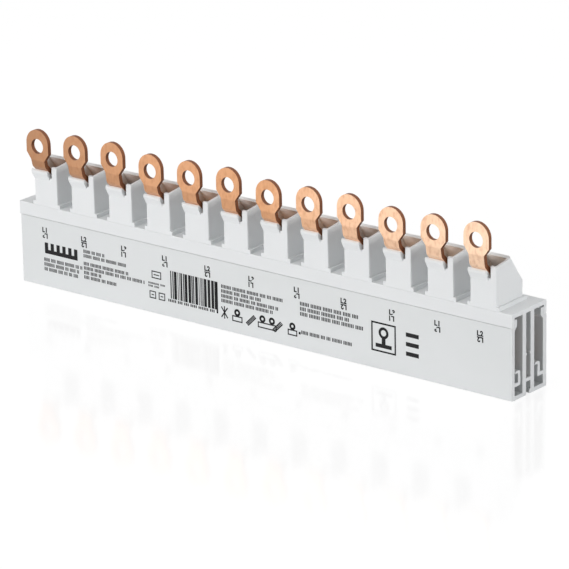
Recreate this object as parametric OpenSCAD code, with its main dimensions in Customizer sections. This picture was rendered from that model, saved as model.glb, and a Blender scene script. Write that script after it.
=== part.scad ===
// Three-phase comb busbar with twelve ring terminals.
// Three copper strips stand in the chambers of an extruded insulating base, an extruded cover
// closes it, and each terminal comes up through a window in the cover inside its own hood.
// Frame: +X along the length, -Y to the terminals' front, +Z up, origin under the middle.

/* [Poles] */
// Distance between neighbouring terminals
pole_pitch = 17.5; // [16:0.1:20]
// From the base's left end to the middle of the first terminal
first_pole_x = 11.7; // [11:0.1:16]
// From the middle of the last terminal to the base's right end
last_pole_margin = 12.4; // [11:0.1:16]

/* [Base section] */
// Depth of the base, front face to back face
base_depth = 19.8; // [19:0.1:24]
// Height of the seam between base and cover
seam_z = 25.4; // [24:0.1:30]
// Thickness of the floor
floor_t = 1.4; // [1:0.1:2]
// Thickness of the front wall
front_wall = 1.5; // [1:0.1:1.8]
// Thickness of the back wall
back_wall = 2; // [1.4:0.1:2.4]
// Width of the front chamber
front_chamber = 4.5; // [4.4:0.1:5]
// Thickness of the two partitions
partition_t = 2.1; // [1.4:0.1:2.4]
// Width of the middle chamber
middle_chamber = 2.5; // [2.4:0.1:3]
// Height of the shelves, of which the middle one carries a strip
shelf_z = 5.9; // [4.5:0.1:7]
// Thickness of the shelves
shelf_t = 1.2; // [0.8:0.1:1.6]
// Height of the hooks' tops, which carry the outer strips
hook_z = 10; // [9:0.1:12]
// Thickness of the hooks' legs
hook_t = 1.3; // [0.8:0.1:1.4]
// Thickness of the hooks' curled tops
curl_t = 0.8; // [0.6:0.1:1]
// Clear width under the hooks' tops
hook_span = 2; // [1.6:0.1:2.4]
// Height of the beads that hold the middle strip
bead_z = 14.4; // [11:0.1:18]

/* [Cover] */
// Thickness of the cover's top
cover_t = 1.5; // [1:0.1:2]
// Height of the cover's skirt below its top
skirt_h = 3.5; // [2.5:0.1:5]
// Thickness of the cover's skirt
skirt_t = 1.4; // [1:0.1:1.6]
// How far the cover runs past the base's left end
cover_overhang = 0.5; // [0:0.1:2]
// Gap that shows between base and skirt
seam_gap = 0.15; // [0:0.05:0.4]
// Thickness of the base's lip inside the skirt
lip_t = 1.3; // [1:0.1:1.5]

/* [Copper] */
// Thickness of the copper
copper_t = 1.6; // [1:0.1:1.7]
// Height of the copper strips
strip_h = 13.6; // [10:0.1:13.6]
// Distance from each end of the base to the copper strips
strip_setback = 5; // [2:0.5:6]
// Width of the terminals' necks
neck_w = 6.2; // [4:0.1:6.4]
// Width of the terminals' rings
ring_w = 10.2; // [9:0.1:12]
// Diameter of the terminals' screw holes
hole_d = 5.5; // [4.3:0.1:6]
// Height of the screw holes on the back, middle and front strips
hole_z = [53.5, 54.15, 54.8]; // [52:0.05:57]
// How far the necks lean back between ring and bend
neck_lean = 0.55; // [0:0.05:1]

/* [Hood] */
// Width of the hoods
hood_w = 10.65; // [10:0.05:12]
// Room behind the back terminals inside the hoods
hood_back_room = 0.45; // [0.1:0.05:1.5]
// Height of the hoods' front above the cover
hood_front_h = 15.1; // [14.5:0.1:16]
// Height of the hoods' side rims beside the roof
hood_rim_h = 15.9; // [15.2:0.1:16.4]
// Height of the hoods' ridge above the cover
hood_ridge_h = 16.8; // [16.4:0.1:18]
// Height of the hoods' back above the cover
hood_back_h = 6.9; // [6:0.1:8]
// Distance from the hoods' front to their ridge
hood_ridge_y = 8.5; // [7:0.1:9]
// Thickness of the hoods' walls
hood_wall = 0.9; // [0.6:0.05:1]
// Thickness of the hoods' sloping roof
roof_t = 1.3; // [0.8:0.1:1.6]
// Width of the ledge round the hoods' foot
foot_ledge = 1; // [0.4:0.1:1.5]
// Height of the ledge round the hoods' foot
foot_h = 1.4; // [0.8:0.1:2]
// Width of the ramp that the terminals lean on
ramp_w = 7.4; // [7:0.1:7.8]
// How far the ramp leans out of the hoods' front
ramp_reach = 1.35; // [1:0.05:2]
// Height of the ramp's top above the cover
ramp_top_h = 13.8; // [13.2:0.1:14.5]
// Height of the ramp's root above the cover
ramp_root_h = 9.9; // [9:0.1:10.5]
// Height of the slit's foot above the cover
slit_foot_h = 10.9; // [10.4:0.1:11.4]
// Width of the slit beside the ramp
slit_w = 0.95; // [0.6:0.05:1.2]

/* [Hidden] */
$fn = 48;
phases = 3;
poles = 12;
fit = 0.05;                 // gap between parts that slide together
overlap = 0.1;              // how far joined shapes run into each other
base_len = first_pole_x + (poles - 1) * pole_pitch + last_pole_margin;

// Depths of the chambers' walls, front to back
partition_1_y = front_wall + front_chamber;
middle_y = partition_1_y + partition_t;
partition_2_y = middle_y + middle_chamber;
back_chamber_y = partition_2_y + partition_t;
back_wall_y = base_depth - back_wall;

// Heights of the cover
cover_under_z = seam_z + skirt_h;
cover_z = cover_under_z + cover_t;
snap_r = 0.35;              // bead of the snap joint between skirt and lip
snap_z = seam_z + 1.6;
lip_top_gap = 0.75;         // free height above the lips
lip_rise = 0.3;             // full thickness of the lips, above the seam
edge_r = 0.4;               // rounding of the extrusions' long edges
curl_r = 1;                 // rounding of the hooks' tops
tip_gap = 0.2;              // between a hook's tip and the wall beside it
bead_r = (middle_chamber - copper_t) / 2 - fit;
groove_t = 0.3;             // depth of the groove along the back seam

// Front faces of the three strips, and of the tabs that rise from them
strip_y = [
    back_chamber_y + fit,
    middle_y + (middle_chamber - copper_t) / 2,
    front_wall + fit
];
tab_y = [
    strip_y[0],
    strip_y[1],
    front_wall + lip_t + 0.4
];
strip_z = [hook_z, shelf_z, hook_z];
joggle_rise = 0.3;          // straight height from a strip to its tabs' joggle
joggle_z = 1.6;             // height over which the front tabs step back
tab_fall = 0.58;            // drop of the tabs for each millimetre back from the ramp
bend_r = 1.6;               // bend radius of the copper's middle plane

// Ring terminals
head_rise = 1;              // centre of the head's arc above the screw hole
cheek_drop = 2.5;           // end of the head's straight sides below the hole
shoulder_drop = 5.2;        // top of the neck below the hole
ring_y = -2.9;              // front face of the rings
front_most = ring_y;

// Hoods
hood_right = 6.1;           // hood's right face, right of its terminal
hood_left = hood_right - hood_w;
hood_d = tab_y[0] + copper_t + hood_back_room + hood_wall;
foot_back = 0.6;            // width of the ledge behind the hood
roof_top = 2;               // depth of the roof's thick top edge
slit_x = ramp_w + slit_w;
roof_r = 1.2;               // rounding of the hood's back corners and roof edges
front_r = 0.4;              // rounding of the hood's front corners
ramp_lip_h = 1;             // upright face at the ramp's top
ramp_flat = 0.4;            // blunt edge at the ramp's top
ramp_foot_rise = 1.1;       // the ramp's inner foot above the slit's
ramp_top = [ramp_flat - ramp_reach, cover_z + ramp_top_h];
ramp_foot = [hood_wall, cover_z + slit_foot_h + ramp_foot_rise];
spigot_in = 0.2;            // spigot's outside, inside the hood's outside
spigot_front_y = front_wall + 0.2;
spigot_wall = 0.7;
spigot_h = cover_t - 0.1;
front_shelf_t = 0.8;        // shelf that joins the hood's front wall to its spigot
window_gap = 0.1;

// Middle of the whole part, which becomes the origin
middle_x = (base_len - cover_overhang) / 2;
middle_depth = (base_depth + front_most) / 2;

function pole_x(pole) = first_pole_x + (pole - 1) * pole_pitch;
function unit(v) = v / norm(v);

// Points of the arc that rounds the corner b between a and c
function arc_at(a, b, c, r, steps = 6) =
    let (u = unit(a - b), w = unit(c - b), half = acos(u * w) / 2)
    let (centre = b + unit(u + w) * r / sin(half))
    let (from = b + u * r / tan(half) - centre, to = b + w * r / tan(half) - centre)
    let (start = atan2(from.y, from.x), turn = (atan2(to.y, to.x) - start + 540) % 360 - 180)
    [for (i = [0:steps]) centre + r * [cos(start + turn * i / steps), sin(start + turn * i / steps)]];

// A path with each of its inner corners rounded
function rounded(path, r) = concat(
    [path[0]],
    [for (i = [1:len(path) - 2]) each arc_at(path[i - 1], path[i], path[i + 1], r)],
    [path[len(path) - 1]]
);

// Sideways direction of a path at point i
function side_of(path, i) =
    let (last = len(path) - 1)
    let (along = unit(unit(path[min(i + 1, last)] - path[max(i - 1, 0)])))
    [-along.y, along.x];

// Outline of a sheet of thickness t that follows a path
function sheet(path, t) = concat(
    [for (i = [0:len(path) - 1]) path[i] + side_of(path, i) * t / 2],
    [for (i = [len(path) - 1:-1:0]) path[i] - side_of(path, i) * t / 2]
);

// Stands a drawing of depth and height along the length
module along_x(from, to) {
    translate([from, 0, 0]) rotate([90, 0, 90]) linear_extrude(to - from) children();
}

module centred() {
    translate([-middle_x, -middle_depth, 0]) children();
}

// Rectangle from one corner to the other
module area(from, to) {
    translate(from) square(to - from);
}

// Rectangle whose corners on the chosen side are rounded: bottom for -1, top for 1
module edge_rounded(from, to, side, r) {
    level = side < 0 ? from.y : to.y - r;
    difference() {
        area(from, to);
        for (x = [from.x, to.x]) {
            inward = x == from.x ? 1 : -1;
            difference() {
                translate([inward > 0 ? x : x - r, level]) square(r);
                translate([x + inward * r, side < 0 ? from.y + r : to.y - r]) circle(r);
            }
        }
    }
}

// Leg whose top curls back towards the wall at depth y
module hook(y) {
    foot_z = shelf_z - shelf_t;
    difference() {
        edge_rounded([y + tip_gap, foot_z], [y + hook_span + hook_t, hook_z], 1, curl_r);
        edge_rounded([y - curl_r, foot_z - overlap], [y + hook_span, hook_z - curl_t], 1, curl_r / 2);
    }
}

// Lip that stands inside the skirt on an outer wall, with the snap groove in it
module lip(wall) {
    full_z = seam_z + lip_rise;
    lip_top_z = cover_under_z - lip_top_gap;
    difference() {
        polygon([
            [wall / 2, full_z - lip_t], [wall, full_z - lip_t], [wall + lip_t, full_z],
            [wall + lip_t, lip_top_z], [skirt_t + fit, lip_top_z], [skirt_t + fit, seam_z],
            [wall / 2, seam_z]
        ]);
        translate([skirt_t, snap_z]) circle(snap_r + fit);
    }
}

module base_section() {
    groove_lip_r = 0.8;
    difference() {
        edge_rounded([0, 0], [base_depth, seam_z], -1, edge_r);
        // outer chambers down to the floor, the middle one down to its shelf
        area([front_wall, floor_t], [partition_1_y, seam_z + 1]);
        area([middle_y, shelf_z], [partition_2_y, seam_z + 1]);
        area([back_chamber_y, floor_t], [back_wall_y, seam_z + 1]);
        // groove that is open below
        area([middle_y, -1], [partition_2_y, shelf_z - shelf_t]);
    }
    // partitions up to the cover
    area([partition_1_y, seam_z - overlap], [middle_y, cover_under_z]);
    area([partition_2_y, seam_z - overlap], [back_chamber_y, cover_under_z]);
    lip(front_wall);
    translate([base_depth, 0]) mirror([1, 0]) lip(back_wall);
    // hooks on shelves, the front one from the front wall and the back one from the back wall
    hook(front_wall);
    area([front_wall - overlap, shelf_z - shelf_t],
         [front_wall + hook_span + hook_t, shelf_z]);
    hook(back_chamber_y);
    area([back_chamber_y + hook_span, shelf_z - shelf_t], [back_wall_y + overlap, shelf_z]);
    for (wall_y = [middle_y, partition_2_y]) translate([wall_y, bead_z]) circle(bead_r);
    translate([partition_2_y, groove_lip_r]) circle(groove_lip_r);
}

module cover_section() {
    difference() {
        edge_rounded([0, seam_z + seam_gap], [base_depth, cover_z], 1, edge_r);
        area([skirt_t, seam_z - 1], [base_depth - skirt_t, cover_under_z]);
        // groove along the seam at the back
        area([base_depth - groove_t, seam_z - 1], [base_depth + 1, seam_z + 2 * groove_t]);
    }
    translate([skirt_t, snap_z]) circle(snap_r);
    translate([base_depth - skirt_t, snap_z]) circle(snap_r);
}

// Footprint of a hood's spigot, grown by gap
module spigot_outline(gap) {
    translate([spigot_in - gap, spigot_front_y - gap])
        square([hood_w - 2 * spigot_in + 2 * gap,
                hood_d - spigot_in - spigot_front_y + 2 * gap]);
}

module base_profile() {
    color("gainsboro") centred() along_x(0, base_len) base_section();
}

module cover_profile() {
    color("whitesmoke") centred() difference() {
        along_x(-cover_overhang, base_len) cover_section();
        for (pole = [1:poles])
            translate([pole_x(pole) + hood_left, 0, cover_under_z - 1])
                linear_extrude(cover_t + 2) spigot_outline(window_gap);
    }
}

// Middle plane of a terminal's tab, from its strip up to the ring
function tab_path(phase) =
    let (half = copper_t / 2, ring_mid_y = ring_y + half, bend_y = ring_mid_y + neck_lean)
    let (foot_y = strip_y[phase] + half, tab_mid_y = tab_y[phase] + half)
    let (strip_top = strip_z[phase] + strip_h, joggle_foot = strip_top + joggle_rise)
    let (up_ramp = unit(ramp_top - ramp_foot))
    let (on_foot = ramp_foot + (half + fit) * [up_ramp.y, -up_ramp.x])
    concat(
        [[foot_y, strip_top - 1]],
        foot_y == tab_mid_y ? [] : [[foot_y, joggle_foot], [tab_mid_y, joggle_foot + joggle_z]],
        [
            [tab_mid_y, on_foot.y - (tab_mid_y - on_foot.x) * tab_fall],
            on_foot,
            on_foot + up_ramp * (bend_y - on_foot.x) / up_ramp.x,
            [ring_mid_y, hole_z[phase] - shoulder_drop],
            [ring_mid_y, hole_z[phase] - cheek_drop]
        ]
    );

module ring_outline() {
    difference() {
        union() {
            translate([0, head_rise]) circle(ring_w / 2);
            polygon([
                [-ring_w / 2, head_rise], [ring_w / 2, head_rise], [ring_w / 2, -cheek_drop],
                [neck_w / 2, -shoulder_drop], [-neck_w / 2, -shoulder_drop],
                [-ring_w / 2, -cheek_drop]
            ]);
        }
        circle(hole_d / 2);
    }
}

module terminal(phase) {
    difference() {
        along_x(-neck_w / 2, neck_w / 2) polygon(sheet(rounded(tab_path(phase), bend_r), copper_t));
        translate([0, ring_y - 1, hole_z[phase]]) rotate([-90, 0, 0])
            cylinder(d = hole_d, h = copper_t + 2);
    }
    translate([0, ring_y + copper_t, hole_z[phase]]) rotate([90, 0, 0])
        linear_extrude(copper_t) ring_outline();
}

module busbar(phase) {
    color("chocolate") centred() {
        translate([strip_setback, strip_y[phase], strip_z[phase]])
            cube([base_len - 2 * strip_setback, copper_t, strip_h]);
        for (pole = [phase + 1:phases:poles]) translate([pole_x(pole), 0, 0]) terminal(phase);
    }
}

module hood_body() {
    roof_run = hood_d - hood_ridge_y;
    roof_drop = hood_ridge_h - hood_back_h;
    roof_angle = atan2(roof_drop, roof_run);
    intersection() {
        along_x(0, hood_w) polygon([
            [0, 0], [hood_d, 0], [hood_d, hood_back_h], [hood_ridge_y, hood_ridge_h],
            [hood_ridge_y - roof_top, hood_rim_h], [0, hood_front_h]
        ]);
        linear_extrude(hood_ridge_h + 1) difference() {
            edge_rounded([0, 0], [hood_w, hood_d], 1, roof_r);
            difference() {
                area([0, 0], [hood_w, front_r]);
                edge_rounded([0, 0], [hood_w, hood_d], -1, front_r);
            }
        }
        // the sloping roof with rounded long edges
        translate([0, hood_ridge_y, hood_ridge_h]) rotate([-roof_angle, 0, 0])
            translate([0, 2 * hood_d, 0]) rotate([90, 0, 0]) linear_extrude(4 * hood_d)
                edge_rounded([0, -3 * hood_d], [hood_w, 0], 1, roof_r);
    }
}

// Hollow of the hood, drawn in depth and height
module hood_hollow() {
    roof_run = hood_d - hood_ridge_y;
    roof_drop = hood_ridge_h - hood_back_h;
    inset = roof_t * norm([roof_run, roof_drop]) / roof_drop;
    back_y = hood_d - hood_wall;
    ceiling_h = hood_ridge_h + 2;
    shelf_y = spigot_front_y + spigot_wall;
    polygon([
        [hood_wall, front_shelf_t], [shelf_y, front_shelf_t], [shelf_y, -1], [back_y, -1],
        [back_y, hood_back_h - (inset - hood_wall) * roof_drop / roof_run],
        [hood_d - inset - (ceiling_h - hood_back_h) * roof_run / roof_drop, ceiling_h],
        [hood_wall, ceiling_h]
    ]);
}

module hood(pole) {
    spigot_back_y = hood_d - spigot_in - spigot_wall;
    color("whitesmoke") centred()
        translate([pole_x(pole) + hood_left, 0, cover_z]) {
            difference() {
                union() {
                    hood_body();
                    translate([-foot_ledge, 0, 0])
                        cube([hood_w + 2 * foot_ledge, hood_d + foot_back, foot_h]);
                }
                along_x(hood_wall, hood_w - hood_wall) hood_hollow();
                // front wall cut away over the ramp and the slit
                translate([-1, -1, slit_foot_h])
                    cube([slit_x + 1, hood_wall + 1, hood_ridge_h]);
            }
            along_x(0, ramp_w) polygon([
                [0, ramp_root_h], [-ramp_reach, ramp_top_h - ramp_lip_h - ramp_flat],
                [-ramp_reach, ramp_top_h - ramp_flat], [ramp_flat - ramp_reach, ramp_top_h],
                [hood_wall, slit_foot_h + ramp_foot_rise], [hood_wall, ramp_root_h]
            ]);
            // spigot that fills the window in the cover
            translate([0, 0, -spigot_h]) linear_extrude(spigot_h + 0.4) difference() {
                spigot_outline(0);
                area([spigot_in + spigot_wall, spigot_front_y + spigot_wall],
                     [hood_w - spigot_in - spigot_wall, spigot_back_y]);
            }
        }
}

module busbar_l1() { busbar(0); }
module busbar_l2() { busbar(1); }
module busbar_l3() { busbar(2); }

base_profile();
cover_profile();
busbar_l1();
busbar_l2();
busbar_l3();
hood(1);  // hood_01
hood(2);  // hood_02
hood(3);  // hood_03
hood(4);  // hood_04
hood(5);  // hood_05
hood(6);  // hood_06
hood(7);  // hood_07
hood(8);  // hood_08
hood(9);  // hood_09
hood(10);  // hood_10
hood(11);  // hood_11
hood(12);  // hood_12
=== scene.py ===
import math
import random

import bmesh
import bpy
from mathutils import Matrix, Vector


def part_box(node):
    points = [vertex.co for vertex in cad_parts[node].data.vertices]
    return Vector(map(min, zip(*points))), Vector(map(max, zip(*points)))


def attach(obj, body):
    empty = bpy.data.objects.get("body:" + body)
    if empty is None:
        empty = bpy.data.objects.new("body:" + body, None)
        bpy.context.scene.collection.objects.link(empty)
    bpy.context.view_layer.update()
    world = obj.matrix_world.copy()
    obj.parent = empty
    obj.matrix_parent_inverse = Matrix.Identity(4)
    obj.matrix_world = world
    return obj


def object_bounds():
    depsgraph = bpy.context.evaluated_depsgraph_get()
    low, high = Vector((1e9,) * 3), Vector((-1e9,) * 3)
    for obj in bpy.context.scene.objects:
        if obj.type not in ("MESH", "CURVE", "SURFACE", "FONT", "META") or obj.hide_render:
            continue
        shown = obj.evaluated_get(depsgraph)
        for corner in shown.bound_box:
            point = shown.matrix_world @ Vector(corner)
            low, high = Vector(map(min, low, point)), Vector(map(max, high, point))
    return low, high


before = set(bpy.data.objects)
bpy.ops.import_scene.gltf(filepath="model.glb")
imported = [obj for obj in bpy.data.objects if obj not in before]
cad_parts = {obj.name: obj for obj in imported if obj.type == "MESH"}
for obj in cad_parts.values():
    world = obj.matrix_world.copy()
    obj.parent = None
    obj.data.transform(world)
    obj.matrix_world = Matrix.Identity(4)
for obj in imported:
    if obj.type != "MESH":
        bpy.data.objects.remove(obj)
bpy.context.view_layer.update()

# ---------------------------------------------------------------- copper strips and terminals
# Each phase is one strip of half-hard copper, blanked from sheet, with four tabs bent up into
# ring terminals. The rolled faces are satin, and a painted highlight makes them paler to the right.
# The sheared edges are rougher, and their dark brown is partly tarnish and partly painted shade.


class Finish:
    """A socket of one material's nodes: + - * and / on it add Math nodes."""

    def __init__(self, tree, socket=None):
        self.tree, self.socket = tree, socket

    def node(self, kind, settings={}, sockets={}, output=0):
        """Adds a node: its settings first, then the value or link of each socket."""
        made = self.tree.nodes.new("ShaderNode" + kind)
        for name, setting in settings.items():
            if name == "stops":
                stops = made.color_ramp.elements
                while len(stops) < len(setting):
                    stops.new(1)
                for stop, (position, colour) in zip(stops, setting):
                    stop.position, stop.color = position, colour
            else:
                setattr(made, name, setting)
        for name, value in sockets.items():
            if isinstance(value, Finish):
                self.tree.links.new(value.socket, made.inputs[name])
            else:
                made.inputs[name].default_value = value
        return Finish(self.tree, made.outputs[output]) if made.outputs else None

    def maths(self, operation, *values):
        return self.node("Math", {"operation": operation}, dict(enumerate(values)))

    def __add__(self, other):
        return self.maths("ADD", self, other)

    def __sub__(self, other):
        return self.maths("SUBTRACT", self, other)

    def __mul__(self, other):
        return self.maths("MULTIPLY", self, other)

    def __truediv__(self, other):
        return self.maths("DIVIDE", self, other)

    def __rsub__(self, other):
        return self.maths("SUBTRACT", other, self)

    __radd__, __rmul__ = __add__, __mul__


def tone(red, green, blue):
    """A screen colour from 0 to 255 as the linear colour that a shader takes."""
    linear = [(c / 255 / 12.92) if c < 10 else ((c / 255 + 0.055) / 1.055) ** 2.4
              for c in (red, green, blue)]
    return (*linear, 1)


def new_finish(name):
    """An empty material and the Finish that adds nodes to it."""
    material = bpy.data.materials.new(name)
    material.use_nodes = True
    material.node_tree.nodes.clear()
    return material, Finish(material.node_tree)


def stretched_noise(add, stretch, detail=2):
    """Noise in the piece's own place, with so many waves to the metre along x, y and z."""
    place = add.node("TexCoord", output="Object")
    waves = add.node("VectorMath", {"operation": "MULTIPLY"}, {0: place, 1: stretch})
    return add.node("TexNoise", {}, {"Vector": waves, "Scale": 1, "Detail": detail}, "Fac")


def facing(add, axis):
    """How squarely the surface faces along one axis, from 0 to 1."""
    normal = add.node("NewGeometry", output="Normal")
    return add.maths("ABSOLUTE", add.node("SeparateXYZ", {}, {0: normal}, axis))


def blend_colours(add, mask, low, high):
    """The colour low where mask is 0, and high where it is 1."""
    return add.node("Mix", {"data_type": "RGBA"}, {"Factor": mask, 6: low, 7: high}, 2)


def finish_with(add, sockets):
    """Ends a material in one Principled shader."""
    shader = add.node("BsdfPrincipled", {}, sockets, "BSDF")
    add.node("OutputMaterial", {}, {"Surface": shader})


def dress(material, *nodes):
    """Gives CAD nodes one material."""
    for name in nodes:
        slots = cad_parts[name].data.materials
        slots.clear()
        slots.append(material)


RING_FOOT = 0.0487      # height at which the necks widen into the rings
TERMINALS_HALF = 0.1    # how far the terminals reach to either side of the middle

copper, add = new_finish("copper_rolled")
place = add.node("TexCoord", output="Object")
place_x = add.node("SeparateXYZ", {}, {0: place}, "X")
height = add.node("SeparateXYZ", {}, {0: place}, "Z")
on_ring = add.maths("GREATER_THAN", height, RING_FOOT)
sheared_and_shaded_edges = on_ring * (1 - facing(add, "Y")) + (1 - on_ring) * facing(add, "X")
rolling = stretched_noise(add, (2600, 2600, 120), 3)
mottle = stretched_noise(add, (190, 190, 260), 3)
shear_marks = stretched_noise(add, (4200, 900, 4200), 2)
# painted highlight: the rolled faces' colour runs from darker at the left end to pale peach at the
# right end, by place along x
along = (place_x + TERMINALS_HALF) / (2 * TERMINALS_HALF) + (mottle - 0.5) * 0.12
copper_with_painted_highlight = add.node("ValToRGB", {"stops": [
    (0, tone(186, 141, 108)), (0.28, tone(220, 166, 126)), (0.55, tone(223, 169, 127)),
    (0.67, tone(246, 200, 164)), (1, tone(251, 217, 187)),
]}, {"Fac": along}, "Color")
spots = add.node("MapRange", {}, {
    "Value": stretched_noise(add, (900, 900, 420), 4), "From Min": 0.46, "From Max": 0.72,
    "To Min": 0, "To Max": 0.36}, "Result")
face_colour = blend_colours(add, spots + rolling * 0.1, copper_with_painted_highlight, tone(180, 116, 76))
# the edge faces' dark brown is partly tarnish and partly painted shade on the sheet's edges
edge_tarnish_and_painted_shade = blend_colours(add, shear_marks, tone(98, 56, 34), tone(146, 92, 60))
finish_with(add, {
    "Base Color": blend_colours(add, sheared_and_shaded_edges, face_colour, edge_tarnish_and_painted_shade),
    "Metallic": 1 - sheared_and_shaded_edges * 0.25,
    "Roughness": 0.27 + mottle * 0.08 + rolling * 0.06 + sheared_and_shaded_edges * 0.16,
    "Normal": add.node("Bump", {}, {
        "Strength": 0.25, "Distance": 0.00002,
        "Height": rolling * (1 - sheared_and_shaded_edges) + shear_marks * sheared_and_shaded_edges,
    }),
})
dress(copper, "busbar_l1", "busbar_l2", "busbar_l3")

# ---------------------------------------------------------------- base profile
# The long base is extruded from light grey flame-retardant plastic and sawn to length. The die
# leaves faint lines along it, and the sawn ends are duller than the drawn faces.
base_grey, add = new_finish("plastic_base_grey")
die_lines = stretched_noise(add, (9, 2100, 2100), 3)
cloud = stretched_noise(add, (38, 60, 60), 3)
grain = stretched_noise(add, (6500, 6500, 6500), 1)
sawn = add.maths("GREATER_THAN", facing(add, "X"), 0.9)
# painted shade: the base's grey, on drawn faces and sawn ends alike, is set darker than the cover's
# and hoods' for the shade low on the rail
drawn_colour_with_painted_shade = blend_colours(add, cloud, tone(220, 223, 223), tone(225, 227, 228))
finish_with(add, {
    "Base Color": blend_colours(add, sawn, drawn_colour_with_painted_shade, tone(222, 224, 225)),
    "Roughness": 0.42 + die_lines * 0.1 + sawn * 0.2,
    "Normal": add.node("Bump", {}, {
        "Strength": 0.22, "Distance": 0.00002,
        "Height": die_lines * (1 - sawn) + grain * (0.35 + sawn * 0.9),
    }),
})
dress(base_grey, "base_profile")

# ---------------------------------------------------------------- cover profile
# The cover is a second extrusion that snaps over the base, from the same plastic. It is a touch
# paler than the base, whose darker grey is painted shade. Its windows are punched after extrusion.
cover_grey, add = new_finish("plastic_cover_grey")
die_lines = stretched_noise(add, (7, 1700, 1700), 3)
cloud = stretched_noise(add, (30, 70, 70), 3)
grain = stretched_noise(add, (5800, 5800, 5800), 1)
finish_with(add, {
    "Base Color": blend_colours(add, cloud, tone(227, 229, 230), tone(232, 234, 235)),
    "Roughness": 0.4 + die_lines * 0.12,
    "Normal": add.node("Bump", {}, {
        "Strength": 0.2, "Distance": 0.00002, "Height": die_lines + grain * 0.4,
    }),
})
dress(cover_grey, "cover_profile")

# ---------------------------------------------------------------- hoods
# Twelve moulded hoods insulate the terminals from each other. Their faces have the fine even
# grain of a spark-eroded mould, and each one is a touch different in tone.
hood_grey, add = new_finish("plastic_hood_grey")
spark = add.node("TexVoronoi", {}, {
    "Vector": add.node("TexCoord", output="Object"), "Scale": 5200}, "Distance")
cloud = stretched_noise(add, (57, 57, 57), 3)
finish_with(add, {
    "Base Color": blend_colours(add, cloud, tone(229, 231, 232), tone(234, 236, 237)),
    "Roughness": 0.46 + spark * 0.12,
    "Normal": add.node("Bump", {}, {
        "Strength": 0.18, "Distance": 0.00002, "Height": spark,
    }),
})
hoods = ["hood_%02d" % pole for pole in range(1, 13)]
dress(hood_grey, *hoods)

# ---------------------------------------------------------------- print on the front
# Pad-printed marks in black ink: phase marks that read both ways up along the upper edge, rows
# of plain ticks, a block of plain bars, and a few plain symbols. The marks' places and sizes
# are in millimetres, from the base's left end and from its foot.
INK_RISE = 0.00002  # in metres, off the base's front face
front_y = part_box("base_profile")[0][1]
left_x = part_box("base_profile")[0][0]

ink, add = new_finish("ink_black")
wear = stretched_noise(add, (1800, 1800, 1800), 3)
finish_with(add, {
    "Base Color": blend_colours(add, wear, tone(12, 12, 13), tone(32, 32, 34)),
    "Roughness": 0.5 + wear * 0.2,
    "Specular IOR Level": 0.2,
})


def print_on_front(name, art):
    """Stands a flat drawing in millimetres, x along and y up, on the base's front face."""
    art.normal_update()
    bmesh.ops.reverse_faces(art, faces=[face for face in art.faces if face.normal.z < 0])
    art.transform(Matrix.Rotation(math.pi / 2, 4, "X") @ Matrix.Diagonal((1e-3, 1e-3, 1e-3, 1)))
    art.transform(Matrix.Translation((left_x, front_y - INK_RISE, 0)))
    mesh = bpy.data.meshes.new(name)
    art.to_mesh(mesh)
    art.free()
    mesh.materials.append(ink)
    piece = bpy.data.objects.new(name, mesh)
    bpy.context.collection.objects.link(piece)
    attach(piece, "root")


def bar(art, left, bottom, width, height):
    """Adds a filled rectangle."""
    corners = [Vector((left, bottom, 0)), Vector((left + width, bottom, 0)),
               Vector((left + width, bottom + height, 0)), Vector((left, bottom + height, 0))]
    art.faces.new([art.verts.new(corner) for corner in corners])


def add_letters(art, words, size, left, bottom, upside_down=False):
    """Adds generic lettering, as flat faces, with its lower left corner in place."""
    curve = bpy.data.curves.new("letters", "FONT")
    curve.body, curve.size, curve.space_character = words, size, 1.1
    curve.offset = size * 0.05
    holder = bpy.data.objects.new("letters", curve)
    mesh = bpy.data.meshes.new_from_object(holder)
    low_x = min(v.co.x for v in mesh.vertices)
    high_x = max(v.co.x for v in mesh.vertices)
    high_y = max(v.co.y for v in mesh.vertices)
    if upside_down:
        turn = Matrix.Rotation(math.pi, 4, "Z")
        turn.translation = (left + high_x, bottom + high_y, 0)
    else:
        turn = Matrix.Translation((left - low_x, bottom, 0))
    mesh.transform(turn)
    art.from_mesh(mesh)
    bpy.data.meshes.remove(mesh)
    bpy.data.objects.remove(holder)
    bpy.data.curves.remove(curve)


MARK_SIZE = 2.5
MARK_FOOT = 18.2
MARK_RISE = 2.3     # from the lower letters to the upper ones
MARK_PLACES = [10, 28.5, 47.3, 66.2, 85.5, 105.2, 125.2, 145.4, 166, 184.9, 202.4]
art = bmesh.new()
for number, place in enumerate(MARK_PLACES):
    add_letters(art, "L%d" % (number % 3 + 1), MARK_SIZE, place, MARK_FOOT + MARK_RISE)
    add_letters(art, "L%d" % (3 - number % 3), MARK_SIZE, place, MARK_FOOT, upside_down=True)
print_on_front("phase_marks", art)


TICK_STEP = 1.55    # from one tick to the next, in thicknesses of a tick
GROUP_GAP = 0.55    # from one group of ticks to the next


def ticked_rows(art, rng, left, top, widths, pitch, height, thickness):
    """Adds a row of grouped upright ticks for each width, all the ticks of one height."""
    for row, width in enumerate(widths):
        foot = top - row * pitch - height
        x, still_to_come = 0.0, rng.randint(3, 9)
        while x < width:
            bar(art, left + x, foot, thickness, height)
            x += thickness * TICK_STEP
            still_to_come -= 1
            if still_to_come == 0:
                x, still_to_come = x + GROUP_GAP, rng.randint(3, 9)


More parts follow.
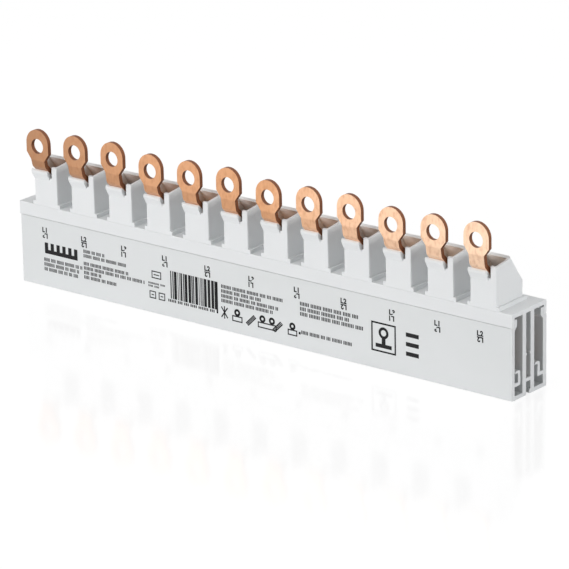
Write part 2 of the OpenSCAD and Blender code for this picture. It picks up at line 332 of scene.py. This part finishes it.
# left, top, the rows' widths and pitch, the ticks' height and thickness
TICK_BLOCKS = [
    (10.4, 10.9, [18, 16.6, 15.6], 1.8, 1.3, 0.36),
    (29.4, 17.5, [10, 20], 1.72, 1.25, 0.36),
    (29.4, 12.9, [21, 28.4, 8, 15.4], 1.7, 1.25, 0.42),
    (92.9, 16.8, [27.4, 17.4, 24.8, 22.4], 1.74, 1.25, 0.42),
    (127.8, 17.4, [24.8, 21.4, 27], 1.85, 1.35, 0.44),
    (128.2, 7, [21.5], 1.7, 1.3, 0.4),
    (59.6, 11.4, [7.6, 4.6], 1.1, 0.7, 0.36),
]
art = bmesh.new()
rng = random.Random(7)
for block in TICK_BLOCKS:
    ticked_rows(art, rng, *block)
print_on_front("ticked_print", art)

# plain bars whose widths and gaps are drawn at random, so they encode nothing
BARS_LEFT, BARS_RIGHT = 69.8, 91.3
BARS_FOOT, BARS_HEIGHT = 7.0, 10.3
WIDEST_BAR = 1.2
LAST_BAR = 0.7      # width of the last bar, which reaches lower
LAST_BAR_DROP = 1.3
art = bmesh.new()
rng = random.Random(3)
x = BARS_LEFT
while x < BARS_RIGHT - WIDEST_BAR:
    width = rng.choice([0.3, 0.5, 0.75, WIDEST_BAR])
    bar(art, x, BARS_FOOT, width, BARS_HEIGHT)
    x += width + rng.choice([0.2, 0.25, 0.45])
bar(art, BARS_RIGHT - LAST_BAR, BARS_FOOT - LAST_BAR_DROP, LAST_BAR, BARS_HEIGHT + LAST_BAR_DROP)
ticked_rows(art, rng, BARS_LEFT - 1.2, 6.7, [21], 1.1, 1, 0.5)
print_on_front("bar_pattern", art)


def ring_line(art, centre, radius, line, corners):
    """Adds a ring's closed outline, with so many corners."""
    spot = Matrix.Translation((*centre, 0))
    rims = [bmesh.ops.create_circle(art, segments=corners, radius=reach, matrix=spot)["verts"]
            for reach in (radius, radius - line)]
    edges = {edge for rim in rims for corner in rim for edge in corner.link_edges}
    bmesh.ops.bridge_loops(art, edges=list(edges))


def slanted_bar(art, start, end, width):
    """Adds a straight stroke from one place to another."""
    start, end = Vector((*start, 0)), Vector((*end, 0))
    aside = Vector((start.y - end.y, end.x - start.x, 0)).normalized() * width / 2
    art.faces.new([art.verts.new(place) for place in
                   (start - aside, end - aside, end + aside, start + aside)])


def framed_box(art, left, bottom, width, height, line):
    """Adds a rectangle's outline."""
    for low in (bottom, bottom + height - line):
        bar(art, left, low, width, line)
    for side in (left, left + width - line):
        bar(art, side, bottom + line, line, height - 2 * line)


art = bmesh.new()
# a plain comb of square teeth
COMB_LEFT, COMB_FOOT, COMB_SPINE = 10.9, 12.6, 1.5
bar(art, COMB_LEFT, COMB_FOOT, 15.6, COMB_SPINE)
for tooth in range(6):
    bar(art, COMB_LEFT + tooth * 2.8, COMB_FOOT + COMB_SPINE, 1.6, 2.6)
# plain framed boxes with one bar in each
for left, bottom, width in ((61.2, 13.0, 4.4), (60.0, 5.4, 3.0), (64.2, 5.4, 3.0)):
    framed_box(art, left, bottom, width, 2.8, 0.4)
    bar(art, left + 0.9, bottom + 1.2, width - 1.8, 0.4)
# three strokes that cross
slanted_bar(art, (92.8, 4.8), (95.6, 8.6), 0.5)
slanted_bar(art, (95.6, 4.8), (92.8, 8.6), 0.5)
slanted_bar(art, (94.2, 4.4), (94.2, 9), 0.45)
# boxes with one or two rings above each
for left, width, rings in ((97.6, 4.6, 1), (109.0, 8.4, 2), (122.2, 4.2, 1)):
    framed_box(art, left, 4.3, width, 2.2, 0.45)
    for ring in range(rings):
        place = left + width * (ring + 0.5) / rings
        ring_line(art, (place, 7.7), 1.35, 0.85, 20)
# bundles of three slanted strokes between the boxes, and a small square after them
for left in (103.8, 115.6):
    slanted_bar(art, (left, 4.7), (left + 3.6, 8.2), 0.5)
    slanted_bar(art, (left + 0.8, 4.0), (left + 4.4, 7.5), 0.5)
    slanted_bar(art, (left + 0.4, 4.35), (left + 4, 7.85), 0.35)
bar(art, 127.0, 5.4, 0.9, 0.9)
# one ring terminal standing on its strip, in a plain box
TERMINAL_X = 163.6
framed_box(art, TERMINAL_X - 5.2, 6.2, 10.4, 10.6, 0.6)
ring_line(art, (TERMINAL_X, 13.2), 2.1, 1.0, 28)
bar(art, TERMINAL_X - 0.8, 9.2, 1.6, 2.0)
bar(art, TERMINAL_X - 3.4, 7.8, 6.8, 1.4)
# three plain bars, one above the other
for step in range(3):
    bar(art, 173, 7.2 + step * 3.4, 5.4, 1.5)
print_on_front("plain_symbols", art)

# ---------------------------------------------------------------- floor, light and camera
# A pale studio table: the part stands on a white glossy sheet under large soft lights, and the
# camera looks down on it from its right.
FLOOR_HALF = 4
FLOOR_DROP = 0.00005    # below the part's foot, so that the faces don't meet
FLOOR_MIRRORED = 0.24   # glow that metal and gloss see in the floor
FLOOR_SHOWN = 0.89      # glow that the camera sees
FLOOR_GLOSS = 0.11
AMBIENT = 0.11          # the world's light on the part
art = bmesh.new()
bmesh.ops.create_grid(art, x_segments=1, y_segments=1, size=FLOOR_HALF)
mesh = bpy.data.meshes.new("floor")
art.to_mesh(mesh)
art.free()
floor = bpy.data.objects.new("floor", mesh)
floor.location.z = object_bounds()[0][2] - FLOOR_DROP
bpy.context.collection.objects.link(floor)

sheet_white, add = new_finish("table_white")
lighting = add.node("BsdfDiffuse", {}, {"Color": tone(243, 243, 244)}, "BSDF")
mirrored = add.node("Emission", {}, {"Color": (1, 1, 1, 1), "Strength": FLOOR_MIRRORED}, "Emission")
mirrored = add.node("AddShader", {}, {0: lighting, 1: mirrored}, 0)
shaded = add.node("BsdfDiffuse", {}, {"Color": (0.2, 0.2, 0.2, 1)}, "BSDF")
shown = add.node("Emission", {}, {"Color": (1, 1, 1, 1), "Strength": FLOOR_SHOWN}, "Emission")
shown = add.node("AddShader", {}, {0: shaded, 1: shown}, 0)
gloss = add.node("BsdfGlossy", {}, {"Color": (1, 1, 1, 1), "Roughness": 0.1}, "BSDF")
shown = add.node("MixShader", {}, {0: FLOOR_GLOSS, 1: shown, 2: gloss}, 0)
shader = add.node("MixShader", {}, {
    0: add.node("LightPath", output="Is Glossy Ray"), 1: lighting, 2: mirrored}, 0)
shader = add.node("MixShader", {}, {
    0: add.node("LightPath", output="Is Camera Ray"), 1: shader, 2: shown}, 0)
add.node("OutputMaterial", {}, {"Surface": shader})
floor.data.materials.append(sheet_white)

scene = bpy.context.scene
world = bpy.data.worlds.new("studio")
world.use_nodes = True
world.node_tree.nodes.clear()
scene.world = world
add = Finish(world.node_tree)
seen = add.maths("MAXIMUM", add.node("LightPath", output="Is Camera Ray"),
                 add.node("LightPath", output="Is Glossy Ray"))
strength = AMBIENT + seen * (1 - AMBIENT)
shader = add.node("Background", {}, {"Color": (1, 1, 1, 1), "Strength": strength}, "Background")
add.node("OutputWorld", {}, {"Surface": shader})


def softbox(name, azimuth, elevation, distance, size, power):
    """A square area light that looks at the part's middle."""
    lamp = bpy.data.lights.new(name, "AREA")
    lamp.shape, lamp.size, lamp.energy = "SQUARE", size, power
    holder = bpy.data.objects.new(name, lamp)
    holder.matrix_world = (
        Matrix.Translation((0, 0, 0.03))
        @ Matrix.Rotation(math.radians(azimuth), 4, "Z")
        @ Matrix.Rotation(math.radians(90 - elevation), 4, "X")
        @ Matrix.Translation((0, 0, distance))
    )
    bpy.context.collection.objects.link(holder)


softbox("key", azimuth=-18, elevation=6, distance=1.5, size=1.0, power=20.6)
softbox("side", azimuth=94, elevation=8, distance=1.4, size=0.7, power=9.8)
softbox("top", azimuth=0, elevation=84, distance=1.3, size=0.9, power=5.4)
softbox("rear", azimuth=176, elevation=10, distance=1.5, size=1.0, power=5.5)
softbox("left", azimuth=-97, elevation=10, distance=1.4, size=0.7, power=2)

CAMERA_PLACE = (0.81865, -1.01285, 0.4573)
CAMERA_AZIMUTH, CAMERA_ELEVATION, CAMERA_ROLL = 38.73, 18.67, -1.05
lens = bpy.data.cameras.new("camera")
lens.lens, lens.sensor_width = 250.7, 36
lens.clip_end = 20
camera = bpy.data.objects.new("camera", lens)
camera.matrix_world = (
    Matrix.Translation(CAMERA_PLACE)
    @ Matrix.Rotation(math.radians(CAMERA_AZIMUTH), 4, "Z")
    @ Matrix.Rotation(math.radians(90 - CAMERA_ELEVATION), 4, "X")
    @ Matrix.Rotation(math.radians(CAMERA_ROLL), 4, "Z")
)
bpy.context.collection.objects.link(camera)
scene.camera = camera
scene.view_settings.view_transform = "Standard"
